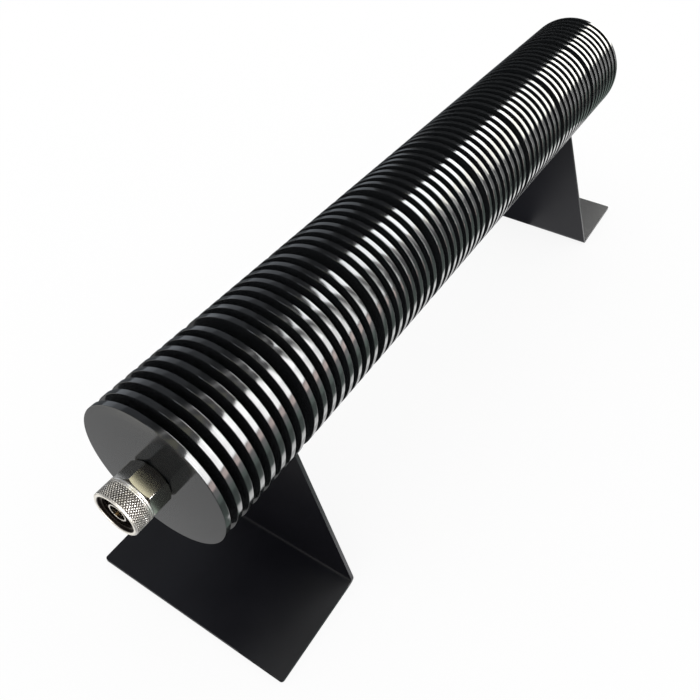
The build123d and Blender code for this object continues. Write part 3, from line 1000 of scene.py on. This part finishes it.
def all_materials():
    """Every finish of the object by its name."""
    turning = turning_marks_group()
    grain = fine_grain_group()
    return {
        "anodised": surface_material(
            "black_anodised_turned", turning, 2200.0, 1000.0,
            (0.010, 0.011, 0.012, 1), (0.012, 0.013, 0.014, 1), 0.0, (0.08, 0.16), 0.4,
            0.015 * MM, ior=1.6, sheen_drift=0.05),
        "sheet": surface_material(
            "black_anodised_sheet", grain, 5000.0, 30.0,
            (0.0055, 0.0055, 0.009, 1), (0.007, 0.007, 0.011, 1), 0.0, (0.34, 0.42), 0.12,
            0.02 * MM, ior=1.4),
        "nickel": surface_material(
            "nickel_plate", turning, 6000.0, 120.0,
            (0.70, 0.665, 0.61, 1), (0.66, 0.63, 0.58, 1), 1.0, (0.17, 0.21)),
        # Painted light and shade: the knurl's nickel is much lighter than the plain nickel plate, and
        # it is painted darker in the grooves and inside the nut's mouth
        "knurled_nickel_painted_light_and_shade": surface_material(
            "nickel_plate_knurled_painted_light_and_shade", turning, 6000.0, 120.0,
            (0.96, 0.93, 0.89, 1), (0.93, 0.9, 0.86, 1), 0.85, (0.34, 0.4),
            groove_shade_colour=(0.05, 0.04, 0.035, 1)),
        # Painted shade: the gold is darker than real gold plate, so that the pin looks shaded deep
        # inside the sleeve
        "gold": surface_material(
            "gold_plate_painted_shade", turning, 6000.0, 200.0,
            (0.45, 0.3, 0.14, 1), (0.41, 0.27, 0.12, 1), 1.0, (0.24, 0.32)),
        "bronze": surface_material(
            "spring_bronze", turning, 9000.0, 300.0,
            (0.55, 0.36, 0.2, 1), (0.48, 0.3, 0.17, 1), 1.0, (0.2, 0.32), 0.1, 0.01 * MM),
        "insulator": surface_material(
            "white_waxy_plastic", grain, 6000.0, 200.0,
            (0.84, 0.84, 0.81, 1), (0.8, 0.8, 0.77, 1), 0.0, (0.38, 0.5), 0.1, 0.02 * MM),
        "gasket": surface_material(
            "black_silicone", grain, 5000.0, 200.0,
            (0.02, 0.02, 0.02, 1), (0.03, 0.03, 0.03, 1), 0.0, (0.5, 0.65), 0.15, 0.03 * MM),
        "aluminium": surface_material(
            "milled_aluminium", grain, 2500.0, 90.0,
            (0.7, 0.71, 0.72, 1), (0.63, 0.64, 0.66, 1), 1.0, (0.25, 0.38), 0.15, 0.02 * MM),
        "steel": surface_material(
            "black_oxide_steel", grain, 4000.0, 200.0,
            (0.05, 0.05, 0.05, 1), (0.035, 0.035, 0.035, 1), 0.8, (0.3, 0.42), 0.12, 0.02 * MM),
        "card": card_film_material(grain),
    }


def dress_inner_nodes(finishes):
    """Give each piece that keeps its CAD shape its finish."""
    plain = {
        "bronze": ["nut_retaining_ring"],
        "aluminium": ["lower_carrier", "upper_carrier"],
        "steel": ["carrier_clamp_screws"],
        "gold": ["input_launch_tab", "output_launch_tab", "card_link_1", "card_link_2", "card_link_3"],
        "card": [f"attenuator_card_{number}" for number in (1, 2, 3, 4)],
    }
    for finish, nodes in plain.items():
        for node in nodes:
            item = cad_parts[node]
            item.data.materials.clear()
            item.data.materials.append(finishes[finish])


def glowing_material(name, radiance, colour):
    """A surface that only shines. A dim one is found by reflected rays alone."""
    material, shader = new_material(name)
    glow = shader.node("ShaderNodeEmission", Color=(*colour, 1), Strength=radiance)
    shader.show(glow)
    sampled = radiance > SAMPLED_RADIANCE
    material.cycles.emission_sampling = "FRONT_BACK" if sampled else "NONE"
    return material


def floor_material():
    """White, lit by the studio, and lifted most of the way to plain white where it is seen."""
    material, shader = new_material("white_floor")
    lit = shader.node("ShaderNodeBsdfDiffuse", Color=(1, 1, 1, 1))
    plain = shader.node("ShaderNodeEmission", Color=(1, 1, 1, 1), Strength=1.0)
    path = shader.node("ShaderNodeLightPath")
    seen = shader.math("MAXIMUM", path.outputs["Is Camera Ray"], path.outputs["Is Glossy Ray"])
    seen = shader.math("MAXIMUM", seen, path.outputs["Is Transmission Ray"])
    lift = shader.math("MULTIPLY", seen, FLOOR_LIFT)
    mixed = shader.node("ShaderNodeMixShader")
    shader.feed(mixed, 0, lift)
    shader.feed(mixed, 1, lit.outputs[0])
    shader.feed(mixed, 2, plain.outputs[0])
    shader.show(mixed)
    return material


def stage_piece(name, grid, material, columns_close=False):
    """Link a grid of points as a piece of the studio."""
    item = linked(name, mesh_from_grids(name, [(grid, False, columns_close)]), material)
    return item


def level_sheet(across, along, height):
    """The grid of a level rectangle from its spans in X and Y."""
    x, y = np.meshgrid(np.array(across), np.array(along))
    return np.stack([x, y, np.full_like(x, height)], axis=-1)


def make_floor():
    """A wide white floor just under the feet, which the studio's own cards replace in reflections."""
    span = (-FLOOR_HALF, FLOOR_HALF)
    floor = stage_piece("floor", level_sheet(span, span, -FLOOR_DROP), floor_material())
    floor.visible_glossy = False


def only_in_reflections(item):
    """Let an object show in reflections and nowhere else."""
    item.visible_camera = False
    item.visible_diffuse = False
    item.visible_transmission = False
    item.visible_volume_scatter = False
    item.visible_shadow = False


def sky_grid(azimuth, elevation, radius):
    """Points of a sphere round the studio's centre, from azimuths and elevations in degrees."""
    azimuth, elevation = np.broadcast_arrays(np.radians(azimuth), np.radians(elevation))
    outwards = np.stack([
        np.cos(elevation) * np.cos(azimuth),
        np.cos(elevation) * np.sin(azimuth),
        np.sin(elevation),
    ], axis=-1)
    return STUDIO_CENTRE + radius * outwards


def keep_off_stands(card):
    """Leave a card out of the stands' reflections."""
    stands = bpy.data.collections.new(card.name + "_left_out")
    for name, _, _ in STANDS:
        stands.objects.link(bpy.data.objects[name])
    for entry in stands.collection_objects:
        entry.light_linking.link_state = "EXCLUDE"
    card.light_linking.receiver_collection = stands


def make_room():
    """A dim room all round, and the cards in it, which only reflections see.

    Each card is a patch of a sphere between two azimuths and two elevations, in degrees, with its
    radiance and colour. A later card hangs in front of an earlier one. The flat feet would show the
    tall panel as plain white from the left side, so the stands don't reflect it.
    """
    cards = (
        ("left_wall", (129, 176), (-14, 30), 0.5, BLUE_GREY),
        ("left_wall_top", (129, 176), (30, 60), 0.2, BLUE_GREY),
        ("left_wall_foot", (129, 176), (-34, -14), 0.2, BLUE_GREY),
        ("left_wall_glow", (150, 176), (-12, 14), 0.78, BLUE_GREY),
        ("black_curtain", (95, 126), (-40, 75), 0.02, WHITE),
        ("ceiling", (-20, 93), (57, 80), 0.42, WHITE),
        ("ceiling_glow", (70, 81), (58, 76), 1.8, WHITE),
        ("cream_ceiling", (4, 50), (52, 80), 1.1, CREAM),
        ("between_panels", (10, 60), (-12, 57), 0.6, WHITE),
        ("far_floor", (0, 42), (-19, -9), 1.5, WHITE),
        ("middle_floor", (0, 42), (-28, -19), 1.0, GREEN_GREY),
        ("near_floor", (-30, 90), (-70, -28), 0.4, GREEN_GREY),
        ("right_gap", (42, 95), (-28, 8), 0.4, GREEN_GREY),
        ("panel_shelf", (50, 95), (-7, 9), 0.9, WHITE),
        ("dark_gap", (59, 73), (-22, -12), 0.1, GREEN_GREY),
        ("tall_panel_foot", (14, 40), (-8, 2), 6.0, ROSE),
        ("tall_panel_edge", (36, 46), (22, 44), 4.5, WHITE),
        ("tall_panel_side", (30, 40), (4, 24), 11.0, WHITE),
        ("tall_panel", (14, 39), (24, 45), 17.5, WHITE),
        ("tall_panel_lower", (14, 31), (4, 24), 15.5, WHITE),
        ("wide_panel_edge", (50, 57), (12, 55), 2.6, WHITE),
        ("wide_panel_foot", (57, 92), (9, 22), 11.0, WARM_WHITE),
        ("wide_panel_waist", (55.5, 92), (22, 30), 11.0, WARM_WHITE),
        ("wide_panel", (55.5, 92), (30, 53), 13.8, COOL_WHITE),
        ("left_ceiling", (156, 235), (74, 89), 4.6, BLUE_GREY),
        ("dark_front", (-62, -4), (-40, 80), 0.02, WHITE),
        ("dark_front_left", (-178, -138), (-30, 30), 0.2, BLUE_GREY),
        ("zenith_light", (0, 150), (79, 90), 3.4, CREAM),
        ("front_light", (-92, -62), (-20, 48), 3.2, WARM_WHITE),
    )
    azimuth = np.linspace(0, 360, ROOM_STEPS, endpoint=False)
    elevation = np.linspace(-90, 90, ROOM_STEPS // 2 + 1)[:, None]
    room = stage_piece("room", sky_grid(azimuth, elevation, ROOM_RADIUS),
                       glowing_material("room", ROOM_RADIANCE, WHITE), columns_close=True)
    only_in_reflections(room)
    radius = ROOM_RADIUS
    for name, azimuths, elevations, radiance, colour in cards:
        radius -= CARD_STEP
        azimuth = np.linspace(*azimuths, CARD_STEPS)
        elevation = np.linspace(*elevations, CARD_STEPS)[:, None]
        grid = sky_grid(azimuth, elevation, radius)
        card = stage_piece(name, grid, glowing_material(name, radiance, colour))
        only_in_reflections(card)
        if name.startswith("tall_panel"):
            keep_off_stands(card)


def make_floor_cards():
    """What the gloss sees of the floor close by, as level sheets with their radiance and colour."""
    cards = (
        ("end_floor", (-0.17, 0.03), (-0.292, -0.2), 0.5, WHITE),
        ("ring_floor", (-0.088, -0.054), (-0.278, -0.267), 1.2, WHITE),
        ("front_floor", (-0.5, -0.02), (-0.75, -0.292), 1.1, WARM_WHITE),
        ("left_floor", (-1.2, 0.01), (-0.2, 0.8), 0.15, BLUE_GREY),
        ("fading_floor", (0.01, 0.06), (-0.17, 0.34), 1.1, WHITE),
        ("bright_floor", (0.06, 0.1), (-0.17, 0.34), 2.5, WHITE),
    )
    for number, (name, across, along, radiance, colour) in enumerate(cards):
        sheet = level_sheet(across, along, FLOOR_DROP * (1 + number))
        item = stage_piece(name, sheet, glowing_material(name, radiance, colour))
        only_in_reflections(item)


def make_world():
    """Plain white light from everywhere."""
    world = bpy.data.worlds.new("white_studio")
    world.use_nodes = True
    shader = Shader(world.node_tree)
    white = shader.node("ShaderNodeBackground", Color=(1, 1, 1, 1), Strength=1.0)
    shader.node("ShaderNodeOutputWorld", Surface=white.outputs[0])
    world.cycles.sampling_method = "NONE"
    bpy.context.scene.world = world


def make_camera():
    """The photograph's camera: above the input end, to the right, looking down along the body."""
    back = -CAMERA_LOOK.normalized()
    right = (CAMERA_RIGHT - CAMERA_RIGHT.dot(back) * back).normalized()
    up = back.cross(right)
    camera = bpy.data.cameras.new("camera")
    camera.sensor_fit = "HORIZONTAL"
    camera.sensor_width = SENSOR_WIDTH
    camera.lens = CAMERA_LENS
    camera.shift_x, camera.shift_y = CAMERA_SHIFT
    camera.clip_start, camera.clip_end = CAMERA_CLIP
    item = bpy.data.objects.new("camera", camera)
    turn = Matrix((right, up, back)).transposed()
    item.matrix_world = Matrix.Translation(CAMERA_PLACE) @ turn.to_4x4()
    bpy.context.scene.collection.objects.link(item)
    bpy.context.scene.camera = item


def make_object(finishes):
    """Every piece that shows."""
    make_radiator_body(finishes["anodised"])
    for name, node, end in STANDS:
        make_stand(name, node, end, finishes["sheet"])
    make_input_connector_body(finishes["nickel"])
    make_output_connector_body(finishes["nickel"])
    make_coupling_nut(finishes["knurled_nickel_painted_light_and_shade"])
    make_gasket(finishes["gasket"])
    make_input_centre_pin(finishes["gold"])
    make_output_centre_socket(finishes["gold"])
    make_bead("input_bead_turned", "input_bead", INPUT, INPUT_BEAD_REACH, finishes["insulator"])
    make_bead("output_bead_turned", "output_bead", OUTPUT, OUTPUT_BEAD_REACH,
              finishes["insulator"])
    make_bead_retainer("input_bead_bush", "input_bead_retainer", INPUT, finishes["nickel"])
    make_bead_retainer("output_bead_bush", "output_bead_retainer", OUTPUT, finishes["nickel"])
    dress_inner_nodes(finishes)


def make_studio():
    """Floor, light, camera and what the gloss reflects."""
    bpy.context.scene.view_settings.view_transform = "Standard"
    make_world()
    make_floor()
    make_room()
    make_floor_cards()
    make_camera()


make_object(all_materials())
make_studio()
